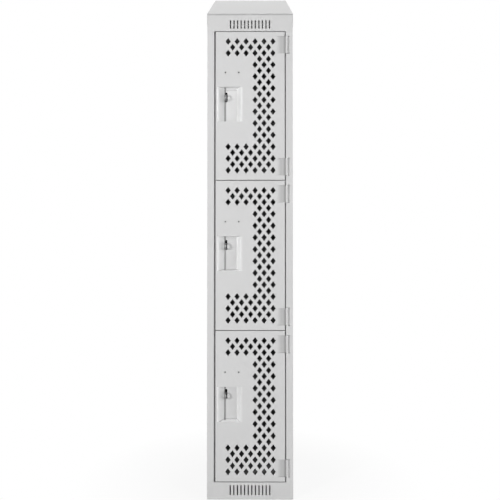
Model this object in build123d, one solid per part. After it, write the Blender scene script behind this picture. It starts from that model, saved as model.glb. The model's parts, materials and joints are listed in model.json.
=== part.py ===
from build123d import *
import os
from math import atan2, cos, sqrt, tan

# Three-tier steel locker with a sloped hood. Millimetres, +Z up, doors face -Y.
# The pieces are drawn with Y = 0 on the front face of the frame and Y growing towards the back.
# On export they move so that the origin is the middle of the footprint on the floor.

# Cabinet
width = 304.8
depth = 457.2
hood_rise = 254.0
body_sheet = 1.2
frame_sheet = 1.5
hood_sheet = 1.5
hood_lap = 37.0

# Front frame
jamb_face = 24.4
header_height = 62.8
kick_height = 59.6
strike_width = 7.0
door_stop_gap = 2.0
cross_rail_height = 36.0
cross_rail_lip = 10.0
bend_radius = 1.2

# Vent slots in the header and the kick rail
vent_count = 12
vent_pitch = 12.7
vent_width = 4.5
header_vent_height = 31.0
header_vent_top = 23.8
kick_vent_height = 35.0
kick_vent_bottom = 15.0

# Doors
door_names = ("upper", "middle", "lower")
door_height = 531.2
door_gap = 2.8
latch_gap = 5.5
hinge_gap = 3.8
door_sheet = 1.5
door_edge = 20.0

# Diamond perforation
diamond_width = 19.0
diamond_height = 25.0
column_pitch = 32.0
row_pitch = 21.0
row_margin = 30.0
column_margin = 40.0
column_shift = 1.2
blank_width = 133.0
blank_top = 86.0
blank_bottom = 403.0

# Number plate holes
plate_hole = 5.6
plate_hole_spacing = 47.7
plate_hole_inset = 34.6
plate_hole_drop = 146.0

# Handle cup, sizes taken from the left edge of the door, its top edge and its front face
cup_sheet = 1.2
mouth_inset = 4.8
mouth_width = 90.8
mouth_corner = 2.0
cup_inset = 9.0
cup_top = 198.0
cup_height = 124.0
cup_draft = 5.0
cup_flange = 5.0
cup_depth = 26.0
cup_wall_run = 21.9
cup_floor_width = 44.6
cup_ramp_run = 13.2

# Padlock staple, placed from the top of the cup, and its slot, placed from the staple
slot_inset = 1.1
slot_width = 9.0
slot_height = 35.6
slot_lead = 22.3
staple_wire = 5.0
staple_offset = 0.5
staple_height = 23.0
staple_drop = 35.2
staple_reach = 24.0
bracket_sheet = 2.0
bracket_height = 60.0
bracket_gap = 4.8
bracket_overhang = 14.0

# Door stiffener
stiffener_width = 24.0
stiffener_depth = 11.0
stiffener_flange = 5.0
stiffener_margin = 6.0

# Hinges
hinge_height = 61.0
hinge_inset = 16.5
knuckle_count = 5
knuckle_diameter = 8.5
knuckle_gap = 0.3
pin_diameter = 4.5
pin_clearance = 0.04
pin_head_diameter = 6.6
pin_head_height = 1.0
leaf_sheet = 1.5
axis_offset = 4.0
door_leaf_show = 15.0
leaf_ramp = 12.0
leaf_tail = 5.0
frame_leaf_width = 17.0
notch_margin = 0.4
notch_side = 5.5
running_gap = 0.3

# Shelves and pans
pan_flange = 15.0
top_pan_drop = 36.5
rear_flange = 15.0

# Fasteners
bolt_shank = 4.8
bolt_head = 9.5
bolt_head_height = 1.3
bolt_inset = 60.0
bolts_per_side = 3
screw_shank = 6.0
screw_head = 12.5
screw_head_height = 2.2
screw_drop = 28.0
screw_inset = 40.0
hole_clearance = 0.2
nut_ratio = 1.75
nut_height = 3.5
rivet_shank = 4.0
rivet_head = 7.6
rivet_head_height = 1.2
rivet_end_margin = 70.0
rivets_per_column = 9

# Coat hooks
hook_wire = 5.0
hook_plate_width = 18.0
hook_plate_height = 34.0
hook_plate_sheet = 2.0
hook_drop = 58.0
hook_reach = 26.0
hook_rise = 16.0
hook_bend = 8.0
ceiling_hook_drop = 34.0
ceiling_hook_span = 22.0

# Rubber bumpers on the latch strike
bumper_diameter = 5.0
bumper_inset = 60.0

# Floor angles and their anchor holes
angle_leg = 30.0
angle_sheet = 3.0
angle_end_gap = 25.0
anchor_hole = 10.0
anchor_end = 24.9

# Derived planes
half = width / 2
inner_half = half - body_sheet
jamb_inner = half - jamb_face
door_left = latch_gap - jamb_inner
door_right = jamb_inner - hinge_gap
door_width = door_right - door_left
door_pitch = door_height + door_gap
fold = kick_height + header_height + len(door_names) * door_pitch + door_gap
peak = fold + hood_rise
slope = atan2(hood_rise, depth)
slope_thickness = hood_sheet / cos(slope)
hood_underside = fold - slope_thickness
hood_half = half + hood_sheet
hood_bottom = fold - hood_lap
back_outer = depth - hood_sheet
back_inner = back_outer - body_sheet
shelf_back = back_inner - body_sheet
strike_front = door_edge + door_stop_gap
strike_back = strike_front + frame_sheet
strike_edge = jamb_inner - strike_width
top_pan_z = fold - top_pan_drop
knuckle_radius = knuckle_diameter / 2
axis_x = jamb_inner + axis_offset
leaf_front = frame_sheet
leaf_back = leaf_front + leaf_sheet
axis_y = leaf_back - knuckle_radius
barrel_proud = knuckle_radius - axis_y
front_y = (barrel_proud - depth) / 2


def door_bottom(tier):
    return kick_height + door_gap + (len(door_names) - 1 - tier) * door_pitch


def door_top(tier):
    return door_bottom(tier) + door_height


def hinge_bottoms(tier):
    return (door_bottom(tier) + hinge_inset, door_top(tier) - hinge_inset - hinge_height)


def shelf_levels():
    return [door_bottom(tier) - door_gap / 2 for tier in range(len(door_names) - 1)]


def block(x0, x1, y0, y1, z0, z1):
    """A box between two opposite corners."""
    middle = Pos((x0 + x1) / 2, (y0 + y1) / 2, (z0 + z1) / 2)
    return middle * Box(abs(x1 - x0), abs(y1 - y0), abs(z1 - z0))


def upright(points, z0, z1):
    """A plan outline (x, y) raised from z0 to z1."""
    outline = Pos(0, 0, z0) * make_face(Polyline(*points, close=True))
    return extrude(outline, z1 - z0, dir=(0, 0, 1))


def crosswise(points, x0, x1):
    """A side outline (y, z) drawn out from x0 to x1."""
    corners = [(x0, y, z) for y, z in points]
    return extrude(make_face(Polyline(*corners, close=True)), x1 - x0, dir=(1, 0, 0))


def rod_x(radius, x0, x1, y, z):
    return Pos((x0 + x1) / 2, y, z) * Rot(0, 90, 0) * Cylinder(radius, abs(x1 - x0))


def rod_y(radius, y0, y1, x, z):
    return Pos(x, (y0 + y1) / 2, z) * Rot(90, 0, 0) * Cylinder(radius, abs(y1 - y0))


def rod_z(radius, z0, z1, x, y):
    return Pos(x, y, (z0 + z1) / 2) * Cylinder(radius, abs(z1 - z0))


def round_uprights(part, x_places, y_place):
    """Bend radius on the upright edges at the given places."""
    near = 0.01
    edges = [
        edge for edge in part.edges().filter_by(Axis.Z)
        if abs(edge.center().Y - y_place) < near
        and any(abs(edge.center().X - x) < near for x in x_places)
    ]
    return fillet(edges, bend_radius)


def round_fronts(part, z_places):
    """Bend radius on the crosswise edges of the front face at the given heights."""
    near = 0.01
    edges = [
        edge for edge in part.edges().filter_by(Axis.X)
        if abs(edge.center().Y) < near and any(abs(edge.center().Z - z) < near for z in z_places)
    ]
    return fillet(edges, bend_radius)


def mirrored(part):
    return mirror(part, about=Plane.YZ)


def save(name, *solids):
    """One file for each sub-part, moved to the shared frame."""
    moved = [Pos(0, front_y, 0) * solid for solid in solids]
    whole = moved[0] if len(moved) == 1 else Compound(children=moved)
    export_step(whole, os.path.join("parts", name + ".step"))


# Front frame

def jamb_profile():
    """Right jamb in plan: face, outer leg, inner leg and the strike behind the door edge."""
    t = frame_sheet
    return [
        (half, 0), (half, t), (inner_half, t), (inner_half, strike_back),
        (inner_half - t, strike_back), (inner_half - t, t), (jamb_inner + t, t),
        (jamb_inner + t, strike_back), (strike_edge, strike_back), (strike_edge, strike_front),
        (jamb_inner, strike_front), (jamb_inner, 0),
    ]


def hinge_notch(x0, x1, z):
    """Clearance cut for one hinge and its pin heads through the front sheet."""
    margin = pin_head_height + notch_margin
    return block(x0, x1, -1, leaf_back + running_gap, z - margin, z + hinge_height + margin)


def plain_jamb():
    """Jamb from the floor to the hood, its face cut back for the kick rail and square at the header."""
    r = bend_radius
    jamb = round_uprights(upright(jamb_profile(), 0, hood_underside), (half, jamb_inner), 0)
    jamb += block(jamb_inner, jamb_inner + r, 0, r, fold - header_height, hood_underside)
    return jamb - block(jamb_inner - 1, half + 1, -1, frame_sheet, 0, kick_height)


def hinge_jamb():
    jamb = plain_jamb()
    notch_end = axis_x + knuckle_radius + notch_side
    for tier in range(len(door_names)):
        for z in hinge_bottoms(tier):
            jamb -= hinge_notch(jamb_inner - 1, notch_end, z)
    return jamb


def vent_cut(height, middle_z):
    slots = [
        Pos((i - (vent_count - 1) / 2) * vent_pitch, middle_z) * Rot(0, 0, 90)
        * SlotOverall(height, vent_width)
        for i in range(vent_count)
    ]
    return extrude(Plane.XZ * Sketch(children=slots), 2 * frame_sheet, both=True)


def strike_corners():
    """Room in the rails for the strikes of the two jambs."""
    return [
        block(side * strike_edge, side * jamb_inner, strike_front, strike_back, 0, fold)
        for side in (-1, 1)
    ]


def header_rail():
    low = fold - header_height
    t = frame_sheet
    profile = [
        (0, low), (strike_front, low), (strike_front, low - strike_width),
        (strike_back, low - strike_width), (strike_back, low + t), (t, low + t),
        (t, hood_underside - t), (strike_back, hood_underside - t),
        (strike_back, hood_underside), (0, hood_underside),
    ]
    rail = crosswise(profile, -jamb_inner, jamb_inner) - strike_corners()
    rail = round_fronts(rail, (low, hood_underside))
    middle = fold - header_vent_top - header_vent_height / 2
    return rail - vent_cut(header_vent_height, middle)


def kick_rail():
    t = frame_sheet
    high = kick_height
    profile = [
        (0, 0), (t, 0), (t, high - t), (strike_back, high - t),
        (strike_back, high + strike_width), (strike_front, high + strike_width),
        (strike_front, high), (0, high),
    ]
    rail = crosswise(profile, -jamb_inner, jamb_inner) - strike_corners()
    rail += block(-half, half, 0, t, 0, high)
    rail = round_fronts(rail, [high])
    rail = round_uprights(rail, (-half, half), 0)
    return rail - vent_cut(kick_vent_height, kick_vent_bottom + kick_vent_height / 2)


def cross_rail(z):
    low = z - cross_rail_height / 2
    high = z + cross_rail_height / 2
    lip = strike_back + cross_rail_lip
    profile = [
        (strike_front, low), (lip, low), (lip, low + frame_sheet),
        (strike_back, low + frame_sheet), (strike_back, high), (strike_front, high),
    ]
    return crosswise(profile, -strike_edge, strike_edge)


# Shelves, pans and panels

def bolt_rows():
    """Depths of the bolts along each shelf flange."""
    first = strike_back + bolt_inset
    step = (shelf_back - bolt_inset - first) / (bolts_per_side - 1)
    return [first + i * step for i in range(bolts_per_side)]


def bolt_levels():
    tops = shelf_levels() + [kick_height]
    return [z - body_sheet - (pan_flange - body_sheet) / 2 for z in tops]


def screw_rows():
    return (screw_inset, back_outer - screw_inset)


def side_holes(shank, rows, levels):
    radius = shank / 2 + hole_clearance
    return [rod_x(radius, -hood_half - 1, hood_half + 1, y, z) for y in rows for z in levels]


def flanged_pan(top, flange_low, flange_high, plate_low):
    """A folded pan: flat plate with a flange on all four sides."""
    t = body_sheet
    pan = block(-inner_half, inner_half, strike_back, shelf_back, flange_low, flange_high)
    hollow_low = top if plate_low else flange_low
    hollow_high = flange_high if plate_low else top - t
    return pan - block(-inner_half + t, inner_half - t, strike_back + t, shelf_back - t,
                       hollow_low, hollow_high)


def shelf(top):
    pan = flanged_pan(top, top - pan_flange, top, False)
    return pan - side_holes(bolt_shank, bolt_rows(), bolt_levels())


def top_pan():
    plate_top = top_pan_z + body_sheet
    pan = flanged_pan(plate_top, top_pan_z, plate_top + pan_flange, True)
    return pan - side_holes(screw_shank, screw_rows(), [fold - screw_drop])


def rivet_levels():
    first = rivet_end_margin
    step = (hood_bottom - rivet_end_margin - first) / (rivets_per_column - 1)
    return [first + i * step for i in range(rivets_per_column)]


def rivet_places():
    x = inner_half - rear_flange / 2
    return [(side * x, z) for side in (-1, 1) for z in rivet_levels()]


def rivet_holes():
    radius = rivet_shank / 2 + hole_clearance
    return [rod_y(radius, shelf_back - 1, back_outer + 1, x, z) for x, z in rivet_places()]


def side_panel():
    panel = block(inner_half, half, frame_sheet, back_inner, 0, hood_underside)
    panel += block(inner_half - rear_flange, inner_half, shelf_back, back_inner, 0, hood_underside)
    panel -= side_holes(bolt_shank, bolt_rows(), bolt_levels())
    panel -= side_holes(screw_shank, screw_rows(), [fold - screw_drop])
    return panel - rivet_holes()


def back_panel():
    return block(-half, half, back_inner, back_outer, 0, hood_underside) - rivet_holes()


# Sloped hood

def slope_sheet():
    profile = [(0, fold), (0, hood_underside), (depth, peak - slope_thickness), (depth, peak)]
    return crosswise(profile, -hood_half, hood_half)


def hood_back_top():
    return hood_underside + back_outer * tan(slope)


def gable():
    profile = [
        (0, hood_bottom), (0, hood_underside), (back_outer, hood_back_top()), (back_outer, hood_bottom),
    ]
    plate = crosswise(profile, half, hood_half)
    return plate - side_holes(screw_shank, screw_rows(), [fold - screw_drop])


def hood_back():
    return block(-hood_half, hood_half, back_outer, depth, hood_bottom, hood_back_top())


# Fasteners

def bolt(shank, head, head_height, length):
    """Round-headed bolt along X, the underside of its head at X = 0 and its shank inward."""
    dome = Pos(head_height / 2, 0, 0) * Rot(0, 90, 0) * Cylinder(head / 2, head_height)
    rim = dome.edges().group_by(Axis.X)[-1]
    dome = fillet(rim, 0.45 * head_height)
    return dome + rod_x(shank / 2, -length, 0, 0, 0)


def nut(shank):
    blank = Rot(0, 90, 0) * extrude(RegularPolygon(nut_ratio * shank / 2, 6, major_radius=False), nut_height)
    bore = rod_x(shank / 2 + hole_clearance, -1, nut_height + 1, 0, 0)
    return Pos(-nut_height, 0, 0) * (blank - bore)


def both_sides(piece, x, rows, levels):
    """Copies of a right-hand fastener on both sides of the cabinet."""
    copies = []
    for y in rows:
        for z in levels:
            placed = Pos(x, y, z) * piece
            copies += [placed, mirrored(placed)]
    return copies


def shelf_bolts():
    length = 2 * body_sheet + nut_height
    piece = bolt(bolt_shank, bolt_head, bolt_head_height, length)
    return both_sides(piece, half, bolt_rows(), bolt_levels())


def shelf_nuts():
    return both_sides(nut(bolt_shank), inner_half - body_sheet, bolt_rows(), bolt_levels())


def hood_screws():
    length = hood_sheet + 2 * body_sheet + nut_height
    piece = bolt(screw_shank, screw_head, screw_head_height, length)
    return both_sides(piece, hood_half, screw_rows(), [fold - screw_drop])


def hood_nuts():
    return both_sides(nut(screw_shank), inner_half - body_sheet, screw_rows(), [fold - screw_drop])


def back_rivets():
    piece = bolt(rivet_shank, rivet_head, rivet_head_height, 2 * body_sheet)
    return [Pos(x, back_outer, z) * Rot(0, 0, 90) * piece for x, z in rivet_places()]


# Doors

def pierced_rows():
    """Places of the diamonds from the door centre, leaving the blank lock area whole."""
    rows = int((door_height - 2 * row_margin) / row_pitch) + 1
    columns = int((door_width - 2 * column_margin) / column_pitch) + 1
    places = []
    for row in range(rows):
        count = columns - row % 2
        z = ((rows - 1) / 2 - row) * row_pitch
        drop = door_height / 2 - z
        for column in range(count):
            x = column_shift + (column - (count - 1) / 2) * column_pitch
            in_blank = blank_top < drop < blank_bottom and x + door_width / 2 < blank_width
            if not in_blank:
                places.append((x, z))
    return places


def diamonds():
    outline = Polygon(
        (-diamond_width / 2, 0), (0, -diamond_height / 2), (diamond_width / 2, 0), (0, diamond_height / 2),
        align=None,
    )
    pattern = Sketch(children=[Pos(x, z) * outline for x, z in pierced_rows()])
    return extrude(Plane.XZ * pattern, 2 * door_sheet, both=True)


def cup_form(grow):
    """Solid of the cup's hollow, or of its outside when grown, with a sloping foot and a square top."""
    front = door_sheet
    deep = cup_depth + grow
    left = cup_inset - grow
    foot = cup_inset + cup_wall_run - grow
    end = cup_inset + cup_wall_run + cup_floor_width + grow
    low = door_height - cup_top - cup_height - grow
    high = door_height - cup_top + grow
    plan = [(left, front), (foot, deep), (end, deep), (end + cup_ramp_run, front)]
    side = [(front, low), (deep, low + cup_draft), (deep, high), (front, high)]
    return upright(plan, low, high) & crosswise(side, -width, width)


def door_panel():
    """Folded tray seen from its lower left corner at the origin."""
    tray = block(0, door_width, 0, door_edge, 0, door_height)
    tray = fillet(tray.faces().sort_by(Axis.Y)[0].edges(), bend_radius)
    t = door_sheet
    tray -= block(t, door_width - t, t, door_edge + 1, t, door_height - t)
    tray -= Pos(door_width / 2, 0, door_height / 2) * diamonds()
    mouth = Pos(mouth_inset + mouth_width / 2, door_height - cup_top - cup_height / 2)
    mouth *= RectangleRounded(mouth_width, cup_height, mouth_corner)
    tray -= extrude(Plane.XZ * mouth, 2 * t, both=True)
    for offset in (0, plate_hole_spacing):
        tray -= rod_y(plate_hole / 2, -1, 2 * t, plate_hole_inset + offset, door_height - plate_hole_drop)
    for z in (hinge_inset, door_height - hinge_inset - hinge_height):
        low = z - notch_margin
        high = z + hinge_height + notch_margin
        tray -= block(door_width - door_leaf_show - leaf_ramp, door_width + 1, -1, leaf_back, low, high)
    return tray


def slot_left():
    """The slot starts just beside the foot of the cup's sloping left wall."""
    return cup_inset + cup_wall_run + slot_inset


def handle_cup():
    """Drawn cup with a flat rim behind the door sheet; the door's mouth shows part of the rim."""
    high = door_height - cup_top
    low = high - cup_height
    right = mouth_inset + mouth_width + cup_flange
    back = door_sheet + cup_sheet
    rim = block(door_sheet, right, door_sheet, back, low - cup_flange, high + cup_flange)
    shell = cup_form(cup_sheet) + rim - cup_form(0)
    slot_middle = high - staple_drop + slot_lead - slot_height / 2
    middle = (slot_left() + slot_width / 2, cup_depth - cup_sheet, slot_middle)
    outline = Plane(middle, x_dir=(0, 0, 1), z_dir=(0, 1, 0)) * SlotOverall(slot_height, slot_width)
    return shell - extrude(outline, 3 * cup_sheet)


def stiffener():
    """Hat channel on the back of the blank lock area, between the cup and the diamonds."""
    t = body_sheet
    right = blank_width - stiffener_margin
    left = right - stiffener_width
    front = door_sheet
    high = door_height - blank_top - stiffener_margin
    low = door_height - blank_bottom + stiffener_margin
    back = front + stiffener_depth
    profile = [
        (left, front), (left + stiffener_flange, front), (left + stiffener_flange, back - t),
        (right - stiffener_flange, back - t), (right - stiffener_flange, front), (right, front),
        (right, front + t), (right - stiffener_flange + t, front + t),
        (right - stiffener_flange + t, back), (left + stiffener_flange - t, back),
        (left + stiffener_flange - t, front + t), (left, front + t),
    ]
    return upright(profile, low, high)


# Hinges

def knuckle_span(index):
    step = hinge_height / knuckle_count
    return index * step + knuckle_gap / 2, (index + 1) * step - knuckle_gap / 2


def hinge_leaf(far_x, own_parity):
    """Leaf from far_x to the barrel with every other knuckle, its lower end at Z = 0."""
    chord = sqrt(knuckle_radius ** 2 - (leaf_front - axis_y) ** 2)
    side = 1 if far_x > axis_x else -1
    near_x = axis_x + side * (chord + running_gap)
    leaf = block(far_x, near_x, leaf_front, leaf_back, 0, hinge_height)
    for index in range(own_parity, knuckle_count, 2):
        z0, z1 = knuckle_span(index)
        leaf += block(near_x, axis_x, leaf_front, leaf_back, z0, z1)
        leaf += rod_z(knuckle_radius, z0, z1, axis_x, axis_y)
    return leaf - rod_z(pin_diameter / 2 + pin_clearance, -1, hinge_height + 1, axis_x, axis_y)


def frame_leaf():
    return hinge_leaf(jamb_inner + frame_leaf_width + axis_offset, 0)


def door_leaf():
    """Leaf behind the door sheet, with a ramp that rises to the door face at its far end."""
    ramp_end = door_right - door_leaf_show
    ramp_start = ramp_end - leaf_ramp
    wedge = [(ramp_start, 0), (ramp_end, leaf_front), (ramp_start, leaf_front)]
    return hinge_leaf(ramp_start - leaf_tail, 1) + upright(wedge, 0, hinge_height)


def hinge_pin():
    pin = rod_z(pin_diameter / 2, 0, hinge_height, axis_x, axis_y)
    for z in (-pin_head_height, hinge_height):
        pin += rod_z(pin_head_diameter / 2, z, z + pin_head_height, axis_x, axis_y)
    return pin


# Latch side

def staple_middle(tier):
    return door_top(tier) - cup_top - staple_drop


def staple_x():
    """The staple stands a little to the latch side in its slot, since the slot first swings that way."""
    return door_left + slot_left() + slot_width / 2 - staple_offset


def bracket_front():
    return cup_depth + cup_sheet + bracket_gap


def strike_bracket(tier):
    """Plate behind the cup that carries the staple, folded forward to the latch strike."""
    t = bracket_sheet
    front = bracket_front()
    end = staple_x() + bracket_overhang
    profile = [
        (-jamb_inner, strike_back), (-strike_edge, strike_back), (-strike_edge, strike_back + t),
        (-jamb_inner + t, strike_back + t), (-jamb_inner + t, front), (end, front),
        (end, front + t), (-jamb_inner, front + t),
    ]
    middle = staple_middle(tier)
    return upright(profile, middle - bracket_height / 2, middle + bracket_height / 2)


def staple(tier):
    """U of round wire standing forward through the slot of the cup."""
    x = staple_x()
    radius = (staple_height - staple_wire) / 2
    middle = staple_middle(tier)
    tip = cup_depth - staple_reach + staple_wire / 2
    bend = tip + radius
    lower = Line((x, bracket_front(), middle - radius), (x, bend, middle - radius))
    arc = ThreePointArc((x, bend, middle - radius), (x, tip, middle), (x, bend, middle + radius))
    upper = Line((x, bend, middle + radius), (x, bracket_front(), middle + radius))
    section = Plane((x, bracket_front(), middle - radius), z_dir=(0, -1, 0)) * Circle(staple_wire / 2)
    return sweep(section, path=Wire([lower, arc, upper]))


def bumpers():
    x = door_left + door_sheet / 2
    length = door_stop_gap - running_gap
    places = [
        (door_bottom(tier) + bumper_inset, door_top(tier) - bumper_inset)
        for tier in range(len(door_names))
    ]
    return [
        rod_y(bumper_diameter / 2, strike_front - length, strike_front, x, z)
        for pair in places for z in pair
    ]


# Coat hooks

def compartment_ceilings():
    return [top_pan_z] + [z - body_sheet for z in shelf_levels()]


def wire_along(points, start_dir):
    path = FilletPolyline(*points, radius=hook_bend)
    section = Plane(points[0], z_dir=start_dir) * Circle(hook_wire / 2)
    return sweep(section, path=path)


def wall_hook(ceiling):
    """Right-hand hook: plate on the side panel with one prong out and up."""
    z = ceiling - hook_drop
    y = (strike_back + shelf_back) / 2
    face = inner_half - hook_plate_sheet
    plate = block(face, inner_half, y - hook_plate_width / 2, y + hook_plate_width / 2,
                  z - hook_plate_height / 2, z + hook_plate_height / 2)
    tip = face - hook_reach
    return plate + wire_along([(face, y, z), (tip, y, z), (tip, y, z + hook_rise)], (-1, 0, 0))


def ceiling_hook(ceiling):
    """Double hook: plate under the shelf with a stem and one prong to each side."""
    y = (strike_back + shelf_back) / 2
    top = ceiling - hook_plate_sheet
    low = top - ceiling_hook_drop
    plate = block(-hook_plate_height / 2, hook_plate_height / 2, y - hook_plate_width / 2,
                  y + hook_plate_width / 2, top, ceiling)
    hook = plate + rod_z(hook_wire / 2, low, top, 0, y)
    prong = wire_along([(0, y, low), (ceiling_hook_span, y, low), (ceiling_hook_span, y, low + hook_rise)],
                       (1, 0, 0))
    return hook + prong + mirrored(prong) + Pos(0, y, low) * Sphere(hook_wire / 2)


# Floor angles

def floor_angle():
    """Right-hand angle along the foot of the side panel, holed for floor anchors."""
    start = strike_back + angle_end_gap
    end = shelf_back - angle_end_gap
    angle = block(inner_half - angle_leg, inner_half, start, end, 0, angle_sheet)
    angle += block(inner_half - angle_sheet, inner_half, start, end, 0, angle_leg)
    x = inner_half - angle_leg / 2
    for y in (start + anchor_end, end - anchor_end):
        angle -= rod_z(anchor_hole / 2, -1, angle_sheet + 1, x, y)
    return angle


os.makedirs("parts", exist_ok=True)

save("left_jamb", mirrored(plain_jamb()))
save("right_jamb", hinge_jamb())
save("header_rail", header_rail())
save("kick_rail", kick_rail())
save("left_side_panel", mirrored(side_panel()))
save("right_side_panel", side_panel())
save("back_panel", back_panel())
save("top_pan", top_pan())
save("bottom_pan", shelf(kick_height))
for name, level in zip(("upper", "lower"), shelf_levels()):
    save(name + "_cross_rail", cross_rail(level))
    save(name + "_shelf", shelf(level))
save("hood_slope_sheet", slope_sheet())
save("hood_left_gable", mirrored(gable()))
save("hood_right_gable", gable())
save("hood_back_sheet", hood_back())
save("hood_screws", *hood_screws())
save("hood_nuts", *hood_nuts())
save("shelf_bolts", *shelf_bolts())
save("shelf_nuts", *shelf_nuts())
save("back_rivets", *back_rivets())
save("door_bumpers", *bumpers())
save("left_floor_angle", mirrored(floor_angle()))
save("right_floor_angle", floor_angle())

panel = door_panel()
cup = handle_cup()
channel = stiffener()
for tier, name in enumerate(door_names):
    corner = Pos(door_left, 0, door_bottom(tier))
    lows = hinge_bottoms(tier)
    save(name + "_door_panel", corner * panel)
    save(name + "_door_handle_cup", corner * cup)
    save(name + "_door_stiffener", corner * channel)
    save(name + "_door_hinge_leaves", *[Pos(0, 0, z) * door_leaf() for z in lows])
    save(name + "_frame_hinge_leaves", *[Pos(0, 0, z) * frame_leaf() for z in lows])
    save(name + "_hinge_pins", *[Pos(0, 0, z) * hinge_pin() for z in lows])
    save(name + "_strike_bracket", strike_bracket(tier))
    save(name + "_padlock_staple", staple(tier))
    ceiling = compartment_ceilings()[tier]
    right_hook = wall_hook(ceiling)
    save(name + "_coat_hooks", right_hook, mirrored(right_hook), ceiling_hook(ceiling))
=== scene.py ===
"""Looks of the three-tier locker cabinet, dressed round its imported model. Metres, doors face -Y."""

import json
import math

import bmesh
import bpy
from mathutils import Matrix, Vector

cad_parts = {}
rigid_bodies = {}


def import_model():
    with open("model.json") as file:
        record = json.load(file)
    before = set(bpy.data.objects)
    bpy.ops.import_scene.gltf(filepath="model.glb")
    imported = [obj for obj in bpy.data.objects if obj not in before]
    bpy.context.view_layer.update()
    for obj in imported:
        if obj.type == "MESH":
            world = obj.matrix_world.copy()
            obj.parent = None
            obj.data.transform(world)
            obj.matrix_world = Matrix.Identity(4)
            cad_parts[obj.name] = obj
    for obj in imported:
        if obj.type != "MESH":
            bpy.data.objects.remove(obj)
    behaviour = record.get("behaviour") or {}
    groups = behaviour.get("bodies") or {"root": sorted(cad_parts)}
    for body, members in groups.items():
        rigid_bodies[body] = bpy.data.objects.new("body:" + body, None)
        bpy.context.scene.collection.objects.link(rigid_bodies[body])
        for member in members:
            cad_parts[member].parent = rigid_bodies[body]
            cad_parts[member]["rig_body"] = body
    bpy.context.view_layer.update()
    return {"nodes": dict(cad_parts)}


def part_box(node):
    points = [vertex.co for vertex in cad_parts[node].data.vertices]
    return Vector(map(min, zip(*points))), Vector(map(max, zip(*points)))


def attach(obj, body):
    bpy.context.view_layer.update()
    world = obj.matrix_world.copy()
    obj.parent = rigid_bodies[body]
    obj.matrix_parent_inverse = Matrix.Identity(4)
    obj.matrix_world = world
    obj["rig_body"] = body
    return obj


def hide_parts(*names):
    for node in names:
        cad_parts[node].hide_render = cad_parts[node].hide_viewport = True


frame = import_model()

MM = 0.001
TIERS = ("upper", "middle", "lower")
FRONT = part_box("left_jamb")[0].y
SIDE_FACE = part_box("right_side_panel")[1].x
BACK_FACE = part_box("back_panel")[1].y
STRIKE_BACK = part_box("left_jamb")[1].y
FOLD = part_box("hood_slope_sheet")[0].z

# Camera, fitted to the edges, door gaps and hood of the photographed cabinet
CAMERA_DISTANCE = 2.0485
CAMERA_HEIGHT = 0.8452
CAMERA_SIDE = 0.0098
CAMERA_TILT_UP = math.radians(0.988)
CAMERA_TURN_LEFT = math.radians(0.275)
CAMERA_LENS = 41.49
CAMERA_SENSOR = 36.0

# Studio; a soft box has a place, a point it aims at, a size and a power
FLOOR_SIZE = 14.0
FLOOR_LEVEL = 0.90
# Floor glow near and far from the cabinet; the weaker glow near it is a painted soft shade round the base
FLOOR_GLOW = (0.88, 1.0)
FLOOR_SHADE_FADE = (0.26, 0.66)
FOOTPRINT_EDGE = 4 * MM
WORLD_LEVEL = 0.075
SOFT_BOXES = {
    # Compact, on the left: throws short shadows to the right
    "key_soft_box": (Vector((-3.09, -3.68, 1.25)), Vector((0.0, FRONT, 1.0)), (0.3, 0.3), 118.0),
    # Wide, on the right
    "fill_soft_box": (Vector((2.4, -2.3, 1.0)), Vector((0.0, FRONT, 0.95)), (1.6, 2.2), 29.5),
    # Above the camera
    "top_soft_box": (Vector((0.0, -3.1, 2.3)), Vector((0.0, FRONT, 1.5)), (1.0, 0.6), 9.5),
    # Over the hood
    "hood_soft_box": (Vector((0.0, -0.2, 3.9)), Vector((0.0, 0.0, 1.8)), (1.4, 1.4), 26.0),
    # Behind the cabinet
    "back_soft_box": (Vector((0.9, 3.1, 1.5)), Vector((0.0, BACK_FACE, 1.0)), (1.8, 2.2), 62.0),
}

# Levels of paint, plate and rubber, from black at 0 to white at 1
PAINT_LEVEL = 0.655
# Level of the painted shade on the cabinet's inner faces
INSIDE_SHADE_LEVEL = 0.30
HINGE_LEVEL = 0.66
BRIGHT_ZINC_LEVELS = (0.48, 0.66)
DULL_ZINC_LEVELS = (0.20, 0.30)
# Near-black plate for the strike bracket: painted shade seen through the cup's slot
SHADE_BLACK_ZINC_LEVELS = (0.008, 0.016)
RUBBER_LEVELS = (0.018, 0.040)
PEEL_SCALE = 420.0

# Paint: a foot darker towards the bottom, a darker header with painted shade in its seam, and where the
# painted shade inside the cabinet begins
FOOT_HEIGHT = 90 * MM
FOOT_DARKENING = 0.30
HEADER_DARKENING = 0.015
HEADER_SKIN = (1.6 * MM, 2.4 * MM)
SEAM_PAINTED_SHADE = 0.28
SEAM_DEPTH = 4.4 * MM
INNER_SKIN = (0.8 * MM, 0.4 * MM)
INNER_TOP = (40 * MM, 30 * MM)

# Hinge: where the door leaf dips below the door face and is painted darker, and its throat beside the
# barrel, which takes painted shade
BARREL_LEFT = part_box("upper_hinge_pins")[0].x - 0.95 * MM
LEAF_DIP = (97.0 * MM, 111.0 * MM)
LEAF_THROAT = (118.5 * MM, 122.5 * MM)
LEAF_DIP_DARKENING = 0.30
THROAT_PAINTED_SHADE = 0.22

# Edge rounding of the folded sheet and of the hinge leaves
SHEET_EDGE = 0.35 * MM
HOOD_EDGE = 0.6 * MM
HINGE_EDGE = 0.25 * MM
EDGE_SEGMENTS = 2
SHARP_ANGLE = math.radians(30)
FLAT_ANGLE = math.radians(0.5)
CURVED_FACE = 2e-4
MERGE_REACH = 1e-6
WELD_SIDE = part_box("header_rail")[1].x
WELD_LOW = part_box("upper_door_panel")[1].z
WELD_REACH = 0.05 * MM

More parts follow.
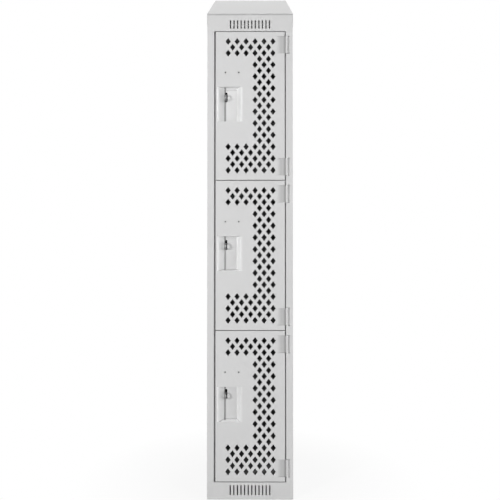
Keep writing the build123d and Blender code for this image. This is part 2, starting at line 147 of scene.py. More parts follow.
# Handle cup, from the left edge of the door, its top edge and its front face
DOOR_SHEET = 1.5 * MM
CUP_SHEET = 1.2 * MM
RIM_RIGHT = 100.6 * MM
RIM_MARGIN = 5.0 * MM
CUP_LEFT = 9.0 * MM
CUP_TOP = 198.0 * MM
CUP_HEIGHT = 124.0 * MM
CUP_DEPTH = 26.0 * MM
CUP_WALL_RUN = 21.9 * MM
CUP_FLOOR = 44.6 * MM
CUP_RAMP_RUN = 13.2 * MM
CUP_DRAFT = 5.0 * MM
CUP_TOP_RUN = 0.8 * MM
CUP_FOOT_BEND = 5.0 * MM
CUP_RAMP_BEND = 3.0 * MM
CUP_END_BEND = 7.0 * MM
CUP_LIP_BEND = 2.2 * MM
SLOT_INSET = 1.1 * MM
SLOT_WIDTH = 9.0 * MM
SLOT_DROP = 210.9 * MM
SLOT_HEIGHT = 35.6 * MM
SLOT_REACH = 4 * MM

# Cup steel: levels of bright and plain steel, and the share painted bright, a painted sheen that stands
# in for light reflected into the cup
SHEEN_STEEL = 0.96
FLOOR_STEEL = 0.605
STEEL_SPREAD = 0.06
LEFT_RIM_SHEEN = 0.75
RIGHT_RIM_SHEEN = 0.32
LEFT_WALL_SHEEN = (0.48, 0.98)
RAMP_SHEEN = 0.55
TOP_SHEEN_BAND = 1.5 * CUP_TOP_RUN

# Painted shade in the cup: a band at the left wall's foot, where the left lip's shadow falls, a line at
# the lower end's foot and one at the top lip
PAINTED_SHADE_DARKNESS = 0.60
SHADE_BAND_LEAD = 1.5 * MM
SHADE_BAND_WIDTH = 5.6 * MM
SHADE_BAND_LOW = 0.6 * CUP_DRAFT
SHADE_LINE = 1.2 * MM
SHADE_LINE_FADE = 0.5
SHADE_LIP = 0.15 * MM
LIP_SHADE = 0.9

# Cup mesh: how far a lip's fine grid goes out and in, a foot's fine grid goes each way, and grid steps
LIP_OUT = 2 * MM
LIP_IN = 3 * MM
FOOT_SIDE = 4 * MM
BEND_STEP = 0.4 * MM
RAMP_STEP = 1.0 * MM
WALL_STEP = 1.2 * MM
FLOOR_STEP = 2 * MM
RIM_STEP = 3 * MM

# Fasteners: outline of a domed head as shares of its radius and height, then the sizes of each kind
ROUND_SIDES = 32
BORE_SIDES = 20
DOME = ((1.0, 0.0), (1.0, 0.28), (0.94, 0.58), (0.78, 0.82), (0.48, 0.96), (0.0, 1.0))
SHANK_OVERLAP = 0.4
SECOND_BAR_DEPTH = 0.97
NUT_CAP = 0.18
NUT_END = 0.92
HEAD_SIZES = ("Head Radius", "Head Height", "Shank Radius", "Shank Length")
RECESS_SIZES = ("Recess Width", "Recess Length", "Recess Depth")
NUT_SIZES = ("Corner Radius", "Height", "Bore Radius")
HOOD_SCREW = (6.25 * MM, 2.2 * MM, 3.0 * MM, 7.4 * MM, 1.5 * MM, 7.4 * MM, 1.3 * MM)
SHELF_BOLT = (4.75 * MM, 1.3 * MM, 2.4 * MM, 5.9 * MM, 1.2 * MM, 12.0 * MM, 0.7 * MM)
BACK_RIVET = (3.8 * MM, 1.2 * MM, 2.0 * MM, 2.4 * MM)
HOOD_NUT = (6.06 * MM, 3.5 * MM, 3.2 * MM)
SHELF_NUT = (4.85 * MM, 3.5 * MM, 2.6 * MM)


# Node graphs

class Value:
    """A socket in a node graph; arithmetic on it adds Math nodes."""

    def __init__(self, graph, socket):
        self.graph = graph
        self.socket = socket

    def maths(self, operation, *terms):
        inputs = {index: term for index, term in enumerate(terms)}
        return self.graph.node("ShaderNodeMath", {"operation": operation}, inputs)

    def __add__(self, other):
        return self.maths("ADD", self, other)

    def __radd__(self, other):
        return self.maths("ADD", other, self)

    def __sub__(self, other):
        return self.maths("SUBTRACT", self, other)

    def __rsub__(self, other):
        return self.maths("SUBTRACT", other, self)

    def __mul__(self, other):
        return self.maths("MULTIPLY", self, other)

    def __rmul__(self, other):
        return self.maths("MULTIPLY", other, self)

    def __abs__(self):
        return self.maths("ABSOLUTE", self)

    def larger(self, other):
        return self.maths("MAXIMUM", self, other)

    def ramp(self, low, high):
        """0 below low, 1 above high and straight between."""
        return self.graph.node(
            "ShaderNodeMapRange", {"clamp": True}, {"Value": self, "From Min": low, "From Max": high}
        )


class Graph:
    """A node tree in the making, with one method that adds any node."""

    def __init__(self, tree):
        self.tree = tree

    def node(self, kind, settings=None, inputs=None, out=0):
        made = self.tree.nodes.new(kind)
        for key, value in (settings or {}).items():
            setattr(made, key, value)
        for key, value in (inputs or {}).items():
            values = value if isinstance(value, list) else [value]
            for each in values:
                if isinstance(each, Value):
                    self.tree.links.new(each.socket, made.inputs[key])
                else:
                    made.inputs[key].default_value = each
        return Value(self, made.outputs[out]) if made.outputs else None


class Finish(Graph):
    """A material."""

    def __init__(self, name):
        self.material = bpy.data.materials.new(name)
        self.material.use_nodes = True
        super().__init__(self.material.node_tree)
        self.tree.nodes.clear()

    def place(self):
        return self.node("ShaderNodeTexCoord", out="Object")

    def axis(self, index):
        return self.node("ShaderNodeSeparateXYZ", inputs={"Vector": self.place()}, out=index)

    def stretched(self, scale):
        return self.node("ShaderNodeMapping", inputs={"Vector": self.place(), "Scale": scale})

    def noise(self, scale, detail=2.0, vector=None):
        inputs = {"Vector": vector or self.place(), "Scale": scale, "Detail": detail}
        return self.node("ShaderNodeTexNoise", inputs=inputs)

    def tint(self, factor, first, second):
        """Mix of two colours, which are the node's inputs 6 and 7."""
        inputs = {"Factor": factor, 6: first, 7: second}
        return self.node("ShaderNodeMix", {"data_type": "RGBA"}, inputs, out=2)

    def bump(self, height, distance, strength=1.0):
        inputs = {"Height": height, "Distance": distance, "Strength": strength}
        return self.node("ShaderNodeBump", inputs=inputs)

    def finish(self, **sockets):
        inputs = {key.replace("_", " "): value for key, value in sockets.items()}
        shader = self.node("ShaderNodeBsdfPrincipled", inputs=inputs)
        self.node("ShaderNodeOutputMaterial", inputs={"Surface": shader})
        return self.material


# Finishes

def grey(level, warm=0.0):
    """A neutral colour, a touch warmer or cooler."""
    return (level * (1 + warm), level, level * (1 - warm), 1.0)


def inside_shade_mask(coat):
    """1 on the faces that only show with a door open or through its diamonds, which take the painted
    shade inside the cabinet.
    """
    deep, shallow = INNER_SKIN
    low, high = INNER_TOP
    between_sides = 1 - abs(coat.axis(0)).ramp(SIDE_FACE - deep, SIDE_FACE - shallow)
    depth = coat.axis(1)
    behind_frame = depth.ramp(STRIKE_BACK - 0.1 * MM, STRIKE_BACK + 0.1 * MM)
    before_back = 1 - depth.ramp(BACK_FACE - deep, BACK_FACE - shallow)
    under_hood = 1 - coat.axis(2).ramp(FOLD - low, FOLD - high)
    return between_sides * behind_frame * before_back * under_hood


def header_shade(coat):
    """Front of the header: painted a touch darker, with painted shade in the seam under the hood."""
    up = coat.axis(2)
    face = 1 - coat.axis(1).ramp(FRONT + HEADER_SKIN[0], FRONT + HEADER_SKIN[1])
    header = up.ramp(WELD_LOW - 2 * MM, WELD_LOW + 2 * MM)
    seam = up.ramp(FOLD - SEAM_DEPTH, FOLD - SEAM_DEPTH + 0.4 * MM)
    return face * (header * HEADER_DARKENING + seam * SEAM_PAINTED_SHADE)


def powder_coat(name, level, inside_shade_level=None, header=False):
    """Satin powder coat: faint clouding, fine orange peel, and a foot that is darker towards the bottom
    and a little rougher.
    """
    coat = Finish(name)
    cloud = coat.noise(5.0, 3.0)
    fleck = coat.noise(900.0, 2.0)
    tone = cloud * 0.7 + fleck * 0.3
    foot = 1 - coat.axis(2).ramp(0.0, FOOT_HEIGHT)
    colour = coat.tint(tone, grey(level * 0.975), grey(level * 1.025))
    # Darker towards the bottom
    colour = coat.tint(foot * FOOT_DARKENING, colour, grey(level * 0.84, 0.004))
    # Painted shade: the inner faces are painted dark, in place of the shade inside the closed cabinet
    if inside_shade_level:
        darkened = coat.tint(tone, grey(inside_shade_level * 0.93), grey(inside_shade_level * 1.07))
        colour = coat.tint(inside_shade_mask(coat), colour, darkened)
    if header:
        # Darker header front, and painted shade in the seam under the hood
        colour = coat.tint(header_shade(coat), colour, grey(0.0))
    peel = coat.noise(PEEL_SCALE, 3.0)
    return coat.finish(
        Base_Color=colour, Roughness=0.40 + 0.10 * cloud + 0.06 * foot,
        Normal=coat.bump(peel, 0.00006, 0.35),
    )


def satin_steel(name):
    """Drawn steel: fine upright brushing, smudges, a painted sheen that stands in for reflected light,
    and painted shade along the foot of the walls.
    """
    steel = Finish(name)
    streak = steel.noise(1.0, 3.0, steel.stretched((2600.0, 2600.0, 30.0)))
    smudge = steel.noise(35.0, 2.0)
    tone = streak * 0.6 + smudge * 0.4
    dark = 1 - STEEL_SPREAD
    light = 1 + STEEL_SPREAD
    sheen_tone = steel.tint(tone, grey(SHEEN_STEEL * dark), grey(SHEEN_STEEL * light))
    floor = steel.tint(tone, grey(FLOOR_STEEL * dark), grey(FLOOR_STEEL * light))
    painted_sheen = steel.node("ShaderNodeAttribute", {"attribute_name": "painted_sheen"}, out="Fac")
    painted_shade = steel.node("ShaderNodeAttribute", {"attribute_name": "painted_shade"}, out="Fac")
    # Painted sheen: brighter steel on the rims, left wall, ramp, under the top and on the lower end, in
    # place of reflected light
    colour = steel.tint(painted_sheen, floor, sheen_tone)
    # Painted shade: darker steel along the feet of the walls and at the top lip, where shadow falls
    colour = steel.tint(painted_shade * PAINTED_SHADE_DARKNESS, colour, grey(0.0))
    return steel.finish(
        Base_Color=colour, Metallic=0.14, Roughness=0.31 + 0.08 * streak + 0.06 * smudge,
        Normal=steel.bump(streak, 0.00002, 0.4),
    )


def zinc_plate(name, low, high):
    """Zinc plate with a cloudy, slightly pitted skin, between two levels."""
    zinc = Finish(name)
    cloud = zinc.noise(260.0, 4.0)
    pit = zinc.noise(1800.0, 2.0)
    colour = zinc.tint(cloud, grey(low, -0.015), grey(high, -0.01))
    return zinc.finish(
        Base_Color=colour, Metallic=1.0, Roughness=0.26 + 0.20 * cloud,
        Normal=zinc.bump(pit, 0.00003, 0.3),
    )


def hinge_coat(name, level):
    """Hinge steel: the door leaf is painted darker across its dip, and darker still in its throat beside
    the barrel, a painted shade where the barrel's shadow falls.
    """
    coat = Finish(name)
    across = coat.axis(0)
    leaf = 1 - across.ramp(BARREL_LEFT - 0.4 * MM, BARREL_LEFT)
    dip = across.ramp(*LEAF_DIP)
    throat = across.ramp(*LEAF_THROAT)
    # Darker across the dip, with painted shade in the throat beside the barrel
    darkened = leaf * (dip * LEAF_DIP_DARKENING + throat * THROAT_PAINTED_SHADE)
    cloud = coat.noise(160.0, 3.0)
    full = coat.tint(cloud, grey(level * 0.98), grey(level * 1.03))
    leaf_dark = coat.tint(cloud, grey(level * 0.09), grey(level * 0.11))
    peel = coat.noise(PEEL_SCALE, 3.0)
    return coat.finish(
        Base_Color=coat.tint(darkened, full, leaf_dark), Roughness=0.36 + 0.14 * cloud + 0.10 * darkened,
        Normal=coat.bump(peel, 0.00005, 0.3),
    )


def black_rubber(name, low, high):
    """Matt moulded rubber with a fine grain, between two levels."""
    rubber = Finish(name)
    grain = rubber.noise(1500.0, 3.0)
    colour = rubber.tint(grain, grey(low), grey(high))
    return rubber.finish(
        Base_Color=colour, Roughness=0.72 + 0.15 * grain, Normal=rubber.bump(grain, 0.00005, 0.4)
    )


PAINT = powder_coat("light_grey_powder_coat", PAINT_LEVEL)
SHADED_PANEL_PAINT = powder_coat("panel_powder_coat", PAINT_LEVEL, INSIDE_SHADE_LEVEL)
FRAME_PAINT_SEAM_SHADE = powder_coat("frame_powder_coat", PAINT_LEVEL, header=True)
PAINTED_LIGHT_STEEL = satin_steel("satin_cup_steel")
ZINC = zinc_plate("bright_zinc_plate", *BRIGHT_ZINC_LEVELS)
DULL_ZINC = zinc_plate("dull_zinc_plate", *DULL_ZINC_LEVELS)
SHADE_BLACK_ZINC = zinc_plate("black_zinc_plate", *SHADE_BLACK_ZINC_LEVELS)
HINGE = hinge_coat("hinge_coat", HINGE_LEVEL)
RUBBER = black_rubber("black_rubber", *RUBBER_LEVELS)


# Making pieces

def linked_object(data, name):
    """A new object in the scene."""
    made = bpy.data.objects.new(name, data)
    bpy.context.scene.collection.objects.link(made)
    return made


def adopt(mesh, name, body, material, node):
    """A finished mesh becomes a piece of a body and stands for a node."""
    piece = linked_object(mesh, name)
    mesh.materials.clear()
    mesh.materials.append(material)
    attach(piece, body)
    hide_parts(node)


def settled(source):
    """Plain mesh of an object with its modifiers applied; the object itself goes."""
    graph = bpy.context.evaluated_depsgraph_get()
    mesh = bpy.data.meshes.new_from_object(source.evaluated_get(graph), depsgraph=graph)
    source.modifiers.clear()
    bpy.data.objects.remove(source)
    return mesh


def merged_copy(node):
    """A node's loose triangles, joined in a bmesh."""
    work = bmesh.new()
    work.from_mesh(frame["nodes"][node].data)
    bmesh.ops.remove_doubles(work, verts=work.verts, dist=MERGE_REACH)
    return work


def is_curved(face):
    """A small face that meets a neighbour at a slight angle belongs to a bend or a barrel."""
    if face.calc_area() > CURVED_FACE:
        return False
    angles = [edge.calc_face_angle(0.0) for edge in face.edges]
    return any(FLAT_ANGLE < angle < SHARP_ANGLE for angle in angles)


def is_welded(line):
    """An edge on a seam between the header and a jamb, which is ground flush."""
    return all(
        abs(abs(vert.co.x) - WELD_SIDE) < WELD_REACH and vert.co.z > WELD_LOW for vert in line.verts
    )


def folded_sheet(node, edge):
    """The node's folded sheet with flat areas merged and its cut edges and folds eased."""
    work = merged_copy(node)
    bmesh.ops.dissolve_limit(work, angle_limit=FLAT_ANGLE, verts=work.verts, edges=work.edges)
    for face in work.faces:
        face.smooth = is_curved(face)
    weight = work.edges.layers.float.new("bevel_weight_edge")
    for line in work.edges:
        line[weight] = float(line.calc_face_angle(0.0) > SHARP_ANGLE and not is_welded(line))
    mesh = bpy.data.meshes.new(node + "_sheet")
    work.to_mesh(mesh)
    work.free()
    source = linked_object(mesh, node + "_source")
    bevel = source.modifiers.new("eased_edges", "BEVEL")
    bevel.width = edge
    bevel.segments = EDGE_SEGMENTS
    bevel.limit_method = "WEIGHT"
    bevel.use_clamp_overlap = True
    return settled(source)


def body_holding(node):
    return frame["nodes"][node]["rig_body"]


def dress_sheet(node, material, edge):
    adopt(folded_sheet(node, edge), node + "_dressed", body_holding(node), material, node)


# Fasteners, one Geometry Nodes tree for each kind

class Kit(Graph):
    """A Geometry Nodes tree that sets one built piece on every point, along the point's facing."""

    def __init__(self, name, *sizes):
        super().__init__(bpy.data.node_groups.new(name, "GeometryNodeTree"))
        self.add_socket("Points", "INPUT", "NodeSocketGeometry")
        for size in sizes:
            self.add_socket(size, "INPUT", "NodeSocketFloat")
        self.add_socket("Material", "INPUT", "NodeSocketMaterial")
        self.add_socket("Pieces", "OUTPUT", "NodeSocketGeometry")
        self.given = self.tree.nodes.new("NodeGroupInput")

    def add_socket(self, name, way, kind):
        self.tree.interface.new_socket(name, in_out=way, socket_type=kind)

    def size(self, name):
        return Value(self, self.given.outputs[name])

    def vector(self, x=0.0, y=0.0, z=0.0):
        return self.node("ShaderNodeCombineXYZ", inputs={0: x, 1: y, 2: z})

    def moved(self, piece, up):
        inputs = {"Geometry": piece, "Translation": self.vector(z=up)}
        return self.node("GeometryNodeTransform", inputs=inputs)

    def frustum(self, low, high, low_radius, high_radius, sides=ROUND_SIDES, caps="NONE"):
        """Ring of sloping wall about Z from low to high."""
        radii = {"Radius Top": high_radius, "Radius Bottom": low_radius}
        inputs = {"Vertices": sides, **radii, "Depth": high - low}
        return self.moved(self.node("GeometryNodeMeshCone", {"fill_type": caps}, inputs), low)

    def rod(self, low, high, radius, sides=ROUND_SIDES):
        """Closed rod about Z from low to high."""
        return self.frustum(low, high, radius, radius, sides, "NGON")

    def disc(self, up, radius, sides=ROUND_SIDES, downward=False):
        """Flat end of a shell, facing up or down."""
        inputs = {"Vertices": sides, "Radius": radius}
        flat = self.node("GeometryNodeMeshCircle", {"fill_type": "NGON"}, inputs)
        if downward:
            flat = self.node("GeometryNodeFlipFaces", inputs={"Mesh": flat})
        return self.moved(flat, up)

    def bar(self, length, breadth, low, height):
        """Box across Z, its underside at low."""
        inputs = {"Size": self.vector(length, breadth, height)}
        return self.moved(self.node("GeometryNodeMeshCube", inputs=inputs), low + height * 0.5)

    def joined(self, *pieces):
        return self.node("GeometryNodeJoinGeometry", inputs={"Geometry": list(pieces)})

    def sealed(self, *pieces):
        """Walls and ends merged to one closed shell."""
        inputs = {"Geometry": self.joined(*pieces), "Distance": MERGE_REACH}
        return self.node("GeometryNodeMergeByDistance", inputs=inputs)

    def cut(self, piece, tool):
        inputs = {"Mesh 1": piece, "Mesh 2": tool}
        return self.node("GeometryNodeMeshBoolean", {"operation": "DIFFERENCE"}, inputs)

    def set_on_points(self, piece):
        """Closes the tree: the piece on every point, with its material."""
        settings = {"data_type": "FLOAT_VECTOR"}
        facing = self.node("GeometryNodeInputNamedAttribute", settings, {"Name": "facing"})
        turn = self.node("FunctionNodeAlignRotationToVector", {"axis": "Z"}, {"Vector": facing})
        inputs = {"Points": self.size("Points"), "Instance": piece, "Rotation": turn}
        copies = self.node("GeometryNodeInstanceOnPoints", inputs=inputs)
        whole = self.node("GeometryNodeRealizeInstances", inputs={"Geometry": copies})
        inputs = {"Geometry": whole, "Material": self.size("Material")}
        coated = self.node("GeometryNodeSetMaterial", inputs=inputs)
        self.node("NodeGroupOutput", inputs={"Pieces": coated})
        return self.tree


def domed_fastener(name, recess_bars):
    """Domed head with its top at Z = 0 and a plain shank below; its recess is one bar or two crossed."""
    kit = Kit(name, *HEAD_SIZES, *RECESS_SIZES)
    radius = kit.size("Head Radius")
    height = kit.size("Head Height")
    walls = []
    for (wide, low), (narrow, high) in zip(DOME, DOME[1:]):
        walls.append(kit.frustum(height * (low - 1), height * (high - 1), radius * wide, radius * narrow))
    head = kit.sealed(*walls, kit.disc(height * -1, radius, downward=True))
    broad, long, deep = [kit.size(label) for label in RECESS_SIZES]
    # The second bar is a little shallower, so that the two floors share no plane
    bars = ((long, broad, 1.0), (broad, long, SECOND_BAR_DEPTH))
    for length, breadth, depth_share in bars[:recess_bars]:
        head = kit.cut(head, kit.bar(length, breadth, deep * -depth_share, deep * 2))
    end = (height + kit.size("Shank Length")) * -1
    shank = kit.rod(end, height * (SHANK_OVERLAP - 1), kit.size("Shank Radius"))
    return kit.set_on_points(kit.joined(head, shank))


def hex_nut(name):
    """Six-sided nut about Z with chamfered corners and a bore, its outer end at Z = 0."""
    kit = Kit(name, *NUT_SIZES)
    corner, height, bore_radius = [kit.size(label) for label in NUT_SIZES]
    cap = height * NUT_CAP
    end = corner * NUT_END
    flats = kit.frustum(height * -1, cap * -1, corner, corner, 6)
    chamfer = kit.frustum(cap * -1, 0.0, corner, end, 6)
    ends = (kit.disc(height * -1, corner, 6, downward=True), kit.disc(0.0, end, 6))
    bore = kit.rod(height * -2, height, bore_radius, BORE_SIDES)
    return kit.set_on_points(kit.cut(kit.sealed(flats, chamfer, *ends), bore))


def solid_boxes(node):
    """Lowest and highest corner of each solid in a node."""
    work = merged_copy(node)
    boxes = []
    waiting = set(work.verts)
    while waiting:
        reached = [waiting.pop()]
        cluster = []
        while reached:
            vert = reached.pop()
            cluster.append(vert.co.copy())
            for edge in vert.link_edges:
                other = edge.other_vert(vert)
                if other in waiting:
                    waiting.remove(other)
                    reached.append(other)
        low = Vector([min(place[i] for place in cluster) for i in range(3)])
        high = Vector([max(place[i] for place in cluster) for i in range(3)])
        boxes.append((low, high))
    work.free()
    return sorted(boxes, key=lambda box: tuple(round(value, 5) for value in box[0]))


def outer_end(box, facing):
    """Middle of a box's end face on the side it faces."""
    low, high = box
    middle = (low + high) / 2
    reach = (high - low) / 2
    return middle + Vector([facing[i] * reach[i] for i in range(3)])


def facing_points(node, facing_of):
    """Points on the outer ends of a node's solids, each with its facing."""
    boxes = solid_boxes(node)
    facings = [facing_of(box) for box in boxes]
    mesh = bpy.data.meshes.new(node + "_points")
    mesh.from_pydata([outer_end(box, facing) for box, facing in zip(boxes, facings)], [], [])
    attribute = mesh.attributes.new("facing", "FLOAT_VECTOR", "POINT")
    for index, facing in enumerate(facings):
        attribute.data[index].vector = facing
    return linked_object(mesh, node + "_points")


def to_the_side(box):
    """Away from the middle of the cabinet."""
    return Vector((math.copysign(1.0, box[0].x + box[1].x), 0.0, 0.0))


def to_the_back(box):
    return Vector((0.0, 1.0, 0.0))


def to_the_middle(box):
    return to_the_side(box) * -1


def set_fasteners(node, tree, facing_of, slot, material, labels, sizes):
    """Fasteners of one kind where the node has its solids, as one piece."""
    points = facing_points(node, facing_of)
    modifier = points.modifiers.new("fasteners", "NODES")
    modifier.node_group = tree
    given = {"Material": material, **dict(zip(labels, sizes))}
    for item in tree.interface.items_tree:
        if item.in_out == "INPUT" and item.name in given:
            modifier[item.identifier] = given[item.name]
    adopt(settled(points), node + "_set", body_holding(node), material, node)


# Handle cup

def soft_least(a, b, blend):
    """The smaller of two depths, rounded where they meet."""
    gap = max(blend - abs(a - b), 0.0) / blend
    return min(a, b) - gap * gap * blend / 4


def cup_depth(across, up):
    """Depth of the cup behind the door face at a place across and up its mouth."""
    hollow = CUP_DEPTH - DOOR_SHEET
    foot = CUP_LEFT + CUP_WALL_RUN
    ramp_end = foot + CUP_FLOOR + CUP_RAMP_RUN
    left = (across - CUP_LEFT) * hollow / CUP_WALL_RUN
    ramp = (ramp_end - across) * hollow / CUP_RAMP_RUN
    ends = min(up * hollow / CUP_DRAFT, (CUP_HEIGHT - up) * hollow / CUP_TOP_RUN)
    deep = soft_least(hollow, left, CUP_FOOT_BEND)
    deep = soft_least(deep, ramp, CUP_RAMP_BEND)
    deep = soft_least(deep, ends, CUP_END_BEND)
    return DOOR_SHEET - soft_least(-deep, 0.0, CUP_LIP_BEND)


def wall_shares(across):
    """How far up the sloping left wall and the right ramp a place lies: 0 at the foot, 1 at the lip."""
    foot = CUP_LEFT + CUP_WALL_RUN
    left = (foot - across) / CUP_WALL_RUN
    right = (across - foot - CUP_FLOOR) / CUP_RAMP_RUN
    return left, right


def end_foot(left, right):
    """Height at which the sloping lower end meets the floor, the left wall or the ramp."""
    return CUP_DRAFT * (1 - max(left, right, 0.0))


def cup_painted_sheen(across, up):
    """Share of painted sheen, standing in for reflected light: most at the left lip, under the top and on
    the lower end.
    """
    left, right = wall_shares(across)
    if left > 1:
        return LEFT_RIM_SHEEN
    if right > 1:
        return RIGHT_RIM_SHEEN
    if up > CUP_HEIGHT - TOP_SHEEN_BAND or up < end_foot(left, right):
        return 1.0
    if left > 0:
        at_foot, at_lip = LEFT_WALL_SHEEN
        return at_foot + (at_lip - at_foot) * left
    return RAMP_SHEEN if right > 0 else 0.0


def cup_painted_shade(across, up):
    """Share of painted shade at a place across and up the mouth."""
    left, right = wall_shares(across)
    if max(left, right) > 1 or not 0 < up < CUP_HEIGHT + SHADE_LIP:
        return 0.0
    if up > CUP_HEIGHT - SHADE_LIP:
        return LIP_SHADE
    start = CUP_LEFT + CUP_WALL_RUN - SHADE_BAND_LEAD
    band = start < across < start + SHADE_BAND_WIDTH and up > SHADE_BAND_LOW
    near = max(0.0, 1 - abs(up - end_foot(left, right)) / SHADE_LINE)
    fade = min(max((across - start) / CUP_FLOOR, 0.0), 1.0)
    return max(float(band), near * (1 - SHADE_LINE_FADE * fade))


def grid_lines(start, *runs):
    """Grid lines from a start through the end of every run, no further apart than the run's step."""
    lines = [start]
    for end, step in runs:
        parts = max(1, math.ceil((end - start) / step))
        lines += [start + (end - start) * i / parts for i in range(1, parts + 1)]
        start = end
    return lines


def slot_cutter(x, z):
    """Round-ended bar through the cup's floor, centred on a place in the face."""
    radius = SLOT_WIDTH / 2
    straight = SLOT_HEIGHT / 2 - radius
    depth = FRONT + CUP_DEPTH - SLOT_REACH
    work = bmesh.new()
    ring = []
    for step in range(ROUND_SIDES):
        angle = 2 * math.pi * (step + 0.5) / ROUND_SIDES
        rise = math.copysign(straight, math.sin(angle)) + radius * math.sin(angle)
        ring.append(work.verts.new((x + radius * math.cos(angle), depth, z + rise)))
    front = work.faces.new(ring)
    grown = bmesh.ops.extrude_face_region(work, geom=[front])
    moved = [item for item in grown["geom"] if isinstance(item, bmesh.types.BMVert)]
    bmesh.ops.translate(work, verts=moved, vec=(0.0, 2 * SLOT_REACH, 0.0))
    bmesh.ops.recalc_face_normals(work, faces=work.faces)
    mesh = bpy.data.meshes.new("slot_cutter")
    work.to_mesh(mesh)
    work.free()
    return linked_object(mesh, "slot_cutter")


def cup_grid():
    """Columns across and rows up the cup, closer together where the sheet bends."""
    foot = CUP_LEFT + CUP_WALL_RUN
    ramp = foot + CUP_FLOOR
    ramp_end = ramp + CUP_RAMP_RUN
    near_end = 2 * CUP_DRAFT
    columns = grid_lines(
        DOOR_SHEET,
        (CUP_LEFT - LIP_OUT, RIM_STEP),
        (CUP_LEFT + LIP_IN, BEND_STEP),
        (foot - FOOT_SIDE, WALL_STEP),
        (foot, BEND_STEP),
        (foot + FOOT_SIDE, BEND_STEP),
        (ramp - FOOT_SIDE, FLOOR_STEP),
        (ramp + FOOT_SIDE, BEND_STEP),
        (ramp_end - LIP_IN, RAMP_STEP),
        (ramp_end + LIP_OUT, BEND_STEP),
        (RIM_RIGHT, RIM_STEP),
    )
    rows = grid_lines(
        -RIM_MARGIN,
        (-LIP_OUT, RIM_STEP),
        (near_end, BEND_STEP),
        (CUP_HEIGHT - near_end, RIM_STEP),
        (CUP_HEIGHT + LIP_OUT, BEND_STEP),
        (CUP_HEIGHT + RIM_MARGIN, RIM_STEP),
    )
    return columns, rows


def cup_sheet(left, low, name):
    """Front skin of a cup with its painted sheen and painted shade, from the door's left edge and the
    foot of the cup.
    """
    columns, rows = cup_grid()
    work = bmesh.new()
    painted_shade = work.verts.layers.float.new("painted_shade")
    painted_sheen = work.verts.layers.float.new("painted_sheen")
    grid = []
    for up in rows:
        line = []
        for across in columns:
            vert = work.verts.new((left + across, FRONT + cup_depth(across, up), low + up))
            vert[painted_shade] = cup_painted_shade(across, up)
            vert[painted_sheen] = cup_painted_sheen(across, up)
            line.append(vert)
        grid.append(line)
    for lower, upper in zip(grid, grid[1:]):
        for c in range(len(columns) - 1):
            corners = (lower[c], lower[c + 1], upper[c + 1], upper[c])
            work.faces.new(corners).smooth = True
    mesh = bpy.data.meshes.new(name)
    work.to_mesh(mesh)
    work.free()
    return mesh


def drawn_cup(tier):
    """A door's cup, drawn from one sheet, with the slot for the staple cut through its floor."""
    low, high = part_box(tier + "_door_panel")
    mesh = cup_sheet(low.x, high.z - CUP_TOP - CUP_HEIGHT, tier + "_cup")
    source = linked_object(mesh, tier + "_cup_source")
    wall = source.modifiers.new("sheet", "SOLIDIFY")
    wall.thickness = CUP_SHEET
    wall.offset = -1.0
    foot = CUP_LEFT + CUP_WALL_RUN
    slot_x = low.x + foot + SLOT_INSET + SLOT_WIDTH / 2
    cutter = slot_cutter(slot_x, high.z - SLOT_DROP - SLOT_HEIGHT / 2)
    slot = source.modifiers.new("slot", "BOOLEAN")
    slot.operation = "DIFFERENCE"
    slot.solver = "EXACT"
    slot.object = cutter
    cup = settled(source)
    bpy.data.objects.remove(cutter)
    return cup


# Dressing the cabinet

CABINET_SHEETS = (
    (PAINT, SHEET_EDGE, (
        "top_pan", "bottom_pan", "upper_cross_rail", "upper_shelf", "lower_cross_rail", "lower_shelf",
        "kick_rail", "left_floor_angle", "right_floor_angle",
    )),
    (SHADED_PANEL_PAINT, SHEET_EDGE, ("left_side_panel", "right_side_panel", "back_panel")),
    (FRAME_PAINT_SEAM_SHADE, SHEET_EDGE, ("left_jamb", "right_jamb", "header_rail")),
    (PAINT, HOOD_EDGE, ("hood_slope_sheet", "hood_left_gable", "hood_right_gable", "hood_back_sheet")),
)
TIER_SHEETS = (
    ("_door_panel", "light_grey_paint", PAINT, SHEET_EDGE),
    ("_door_stiffener", "light_grey_paint", PAINT, SHEET_EDGE),
    ("_door_hinge_leaves", "hinge_steel", HINGE, HINGE_EDGE),
    ("_frame_hinge_leaves", "hinge_steel", HINGE, HINGE_EDGE),
    # The strike bracket is painted near black, in place of the shade inside the closed door
    ("_strike_bracket", "zinc_plate", SHADE_BLACK_ZINC, SHEET_EDGE),
)
for paint, edge, nodes in CABINET_SHEETS:
    for node in nodes:
        dress_sheet(node, paint, edge)
for tier in TIERS:
    for tail, slot, material, edge in TIER_SHEETS:
        dress_sheet(tier + tail, material, edge)
    cup = drawn_cup(tier)
    adopt(cup, tier + "_drawn_cup", tier + "_door", PAINTED_LIGHT_STEEL, tier + "_door_handle_cup")

SCREW_TREE = domed_fastener("cross_recess_screw", 2)
BOLT_TREE = domed_fastener("slotted_bolt", 1)
RIVET_TREE = domed_fastener("plain_rivet", 0)
NUT_TREE = hex_nut("hex_nut")
RECESSED_SIZES = HEAD_SIZES + RECESS_SIZES
FASTENERS = (
    ("hood_screws", SCREW_TREE, to_the_side, "zinc_plate", ZINC, RECESSED_SIZES, HOOD_SCREW),
    ("shelf_bolts", BOLT_TREE, to_the_side, "zinc_plate", ZINC, RECESSED_SIZES, SHELF_BOLT),
    ("back_rivets", RIVET_TREE, to_the_back, "light_grey_paint", PAINT, HEAD_SIZES, BACK_RIVET),
    ("hood_nuts", NUT_TREE, to_the_middle, "zinc_plate", ZINC, NUT_SIZES, HOOD_NUT),
    ("shelf_nuts", NUT_TREE, to_the_middle, "zinc_plate", ZINC, NUT_SIZES, SHELF_NUT),
)
for fastener in FASTENERS:
    set_fasteners(*fastener)


def coat_node(node, material):
    """A node that is shown as it is gets its finish."""
    slots = frame["nodes"][node].data.materials
    slots.clear()
    slots.append(material)


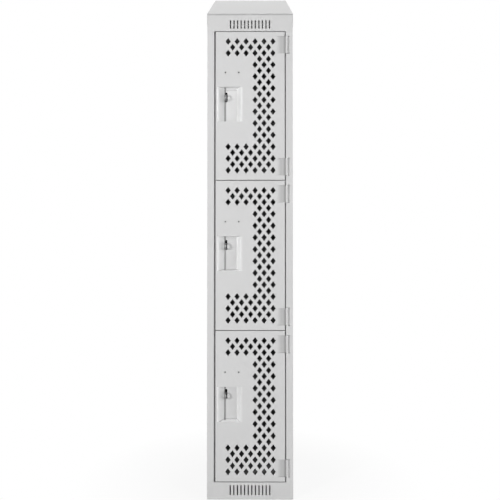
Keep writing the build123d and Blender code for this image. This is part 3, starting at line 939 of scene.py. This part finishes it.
for tier in TIERS:
    for tail in ("_hinge_pins", "_coat_hooks"):
        coat_node(tier + tail, ZINC)
    coat_node(tier + "_padlock_staple", DULL_ZINC)
coat_node("door_bumpers", RUBBER)


# Studio: pale floor, soft light and the camera

def seen_directly(graph):
    """1 for rays that show the background: camera, glossy and transmission rays."""
    path = graph.node("ShaderNodeLightPath").socket.node
    kinds = ("Camera", "Glossy", "Transmission")
    camera, glossy, passing = [Value(graph, path.outputs[f"Is {kind} Ray"]) for kind in kinds]
    return camera.larger(glossy).larger(passing)


def pale_floor():
    """Floor that looks white, except under the cabinet; it takes a soft contact shadow, and its weaker
    glow near the cabinet is a painted soft shade round the base.
    """
    mesh = bpy.data.meshes.new("studio_floor")
    half = FLOOR_SIZE / 2
    corners = [(-half, -half, 0), (half, -half, 0), (half, half, 0), (-half, half, 0)]
    mesh.from_pydata(corners, [], [(0, 1, 2, 3)])
    floor = linked_object(mesh, "studio_floor")
    skin = Finish("studio_floor_white")
    matt = skin.node("ShaderNodeBsdfDiffuse", inputs={"Color": grey(FLOOR_LEVEL)})
    white = skin.node("ShaderNodeEmission", inputs={"Color": grey(1.0), "Strength": 1.0})
    beside = abs(skin.axis(0)).ramp(SIDE_FACE - FOOTPRINT_EDGE, SIDE_FACE)
    before = abs(skin.axis(1)).ramp(BACK_FACE - FOOTPRINT_EDGE, BACK_FACE)
    open_floor = beside.larger(before)
    settings = {"operation": "LENGTH"}
    away = skin.node("ShaderNodeVectorMath", settings, {0: skin.place()}, out="Value")
    near, far = FLOOR_GLOW
    # Weaker glow near the cabinet: a painted soft shade round the base
    glow = seen_directly(skin) * open_floor * (near + (far - near) * away.ramp(*FLOOR_SHADE_FADE))
    both = skin.node("ShaderNodeMixShader", inputs={0: glow, 1: matt, 2: white})
    skin.node("ShaderNodeOutputMaterial", inputs={"Surface": both})
    mesh.materials.append(skin.material)


def white_world():
    """White to look at, but a weak light."""
    world = bpy.data.worlds.new("studio_world")
    bpy.context.scene.world = world
    world.use_nodes = True
    sky = Graph(world.node_tree)
    sky.tree.nodes.clear()
    level = WORLD_LEVEL + (1 - WORLD_LEVEL) * seen_directly(sky)
    light = sky.node("ShaderNodeBackground", inputs={"Color": grey(1.0), "Strength": level})
    sky.node("ShaderNodeOutputWorld", inputs={"Surface": light})


def soft_box(name, place, aim, size, power):
    """Rectangular lamp at a place, turned towards a point."""
    lamp = bpy.data.lights.new(name, "AREA")
    lamp.shape = "RECTANGLE"
    lamp.size, lamp.size_y = size
    lamp.energy = power
    stand = linked_object(lamp, name)
    turn = (aim - place).to_track_quat("-Z", "Y").to_matrix().to_4x4()
    stand.matrix_world = Matrix.Translation(place) @ turn


def set_camera():
    lens = bpy.data.cameras.new("photo_camera")
    lens.sensor_width = CAMERA_SENSOR
    lens.lens = CAMERA_LENS
    lens.clip_end = 50.0
    camera = linked_object(lens, "photo_camera")
    camera.location = (CAMERA_SIDE, FRONT - CAMERA_DISTANCE, CAMERA_HEIGHT)
    camera.rotation_euler = (math.pi / 2 + CAMERA_TILT_UP, 0.0, CAMERA_TURN_LEFT)
    bpy.context.scene.camera = camera


pale_floor()
white_world()
for name, setting in SOFT_BOXES.items():
    soft_box(name, *setting)
set_camera()
bpy.context.scene.view_settings.view_transform = "Standard"
